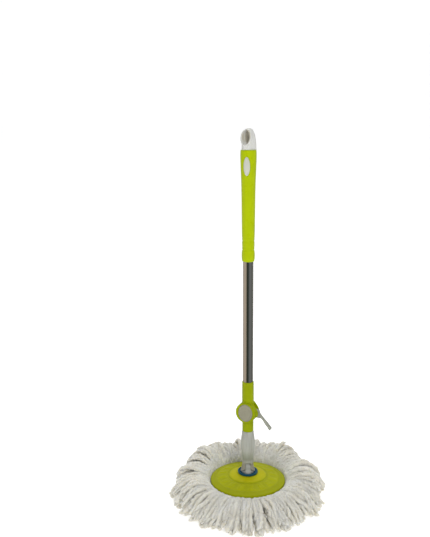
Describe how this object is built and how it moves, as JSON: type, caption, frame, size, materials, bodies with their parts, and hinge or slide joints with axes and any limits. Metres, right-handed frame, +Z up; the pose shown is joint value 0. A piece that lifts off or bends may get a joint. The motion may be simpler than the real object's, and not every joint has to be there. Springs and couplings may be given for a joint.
{
  "type": "spin mop",
  "caption": "Floor mop with a telescopic press-to-spin steel pole, lime grip with hanging loop, cam-lever lock, and a round microfibre head that swivels and tilts.",
  "frame": {"origin": "on the floor under the mop head, on the axis of the upright pole", "axes": "+Z up along the pole; +X towards the lock lever, which is open; -Y towards the round boss of the lock, the front"},
  "size_m": [0.334, 0.334, 0.81],
  "materials": {
    "yarn": "looped microfibre",
    "disc_lime": "gloss",
    "refill_white": "satin",
    "dish_blue": "gloss",
    "clear_white": "cloudy gloss",
    "steel_tube": "polished",
    "steel_plain": "plain",
    "black_plastic": "satin",
    "nut_orange": "satin",
    "grip_lime": "satin gloss",
    "badge_white": "gloss",
    "cap_white": "gloss",
    "collar_lime": "gloss",
    "boss_grey": "satin",
    "lever_white": "gloss"
  },
  "bodies": {
    "head": {"yarn_fringe": "yarn", "mop_disc": "disc_lime", "refill_ring": "refill_white", "refill_backing": "refill_white"},
    "swivel": {"swivel_plate": "dish_blue", "swivel_knuckle": "clear_white", "swivel_washer": "steel_plain", "swivel_screw": "steel_plain"},
    "shaft": {"pole_connector": "clear_white", "yoke_pin": "steel_plain", "lower_tube": "steel_tube", "connector_screw": "steel_plain", "clutch_plug": "black_plastic"},
    "bush": {"guide_bush": "black_plastic"},
    "nut": {"drive_nut": "nut_orange"},
    "upper": {"upper_tube": "steel_tube", "twisted_rod": "steel_plain", "rod_stop": "steel_plain", "rod_anchor": "black_plastic", "anchor_pin": "steel_plain", "grip": "grip_lime", "grip_badge": "badge_white", "hanging_cap": "cap_white", "lock_collar": "collar_lime", "front_cap": "boss_grey", "collar_bush": "black_plastic", "collar_rivet": "steel_plain", "lever_pin": "steel_plain"},
    "lever": {"lock_lever": "lever_white"},
    "shoe": {"clamp_shoe": "black_plastic"}
  },
  "joints": [
    {"name": "head_swivel", "type": "hinge", "parent": "head", "child": "swivel", "pos_m": [0, 0, 0.045], "axis": [0, 0, 1], "continuous": true},
    {"name": "tilt", "type": "hinge", "parent": "swivel", "child": "shaft", "pos_m": [0, 0, 0.07], "axis": [0.9135, 0.4067, 0], "range_deg": [-60, 60]},
    {"name": "shaft_spin", "type": "hinge", "parent": "shaft", "child": "bush", "pos_m": [0, 0, 0.4], "axis": [0, 0, 1], "continuous": true},
    {"name": "telescope", "type": "slide", "parent": "bush", "child": "upper", "axis": [0, 0, 1], "range_m": [0, 0.34]},
    {"name": "nut_turn", "type": "hinge", "parent": "bush", "child": "nut", "pos_m": [0, 0, 0.595], "axis": [0, 0, 1], "continuous": true},
    {"name": "lever_pivot", "type": "hinge", "parent": "upper", "child": "lever", "pos_m": [0.0195, 0, 0.1975], "axis": [0, -1, 0], "range_deg": [0, 139]},
    {"name": "shoe_slide", "type": "slide", "parent": "upper", "child": "shoe", "axis": [-1, 0, 0], "range_m": [0, 0.0003]}
  ],
  "couplings": [
    {"joint": "nut_turn", "follows": "telescope", "rad_per_m": -104.72},
    {"joint": "shoe_slide", "follows": "lever_pivot", "m_per_rad": 0.0001085}
  ]
}
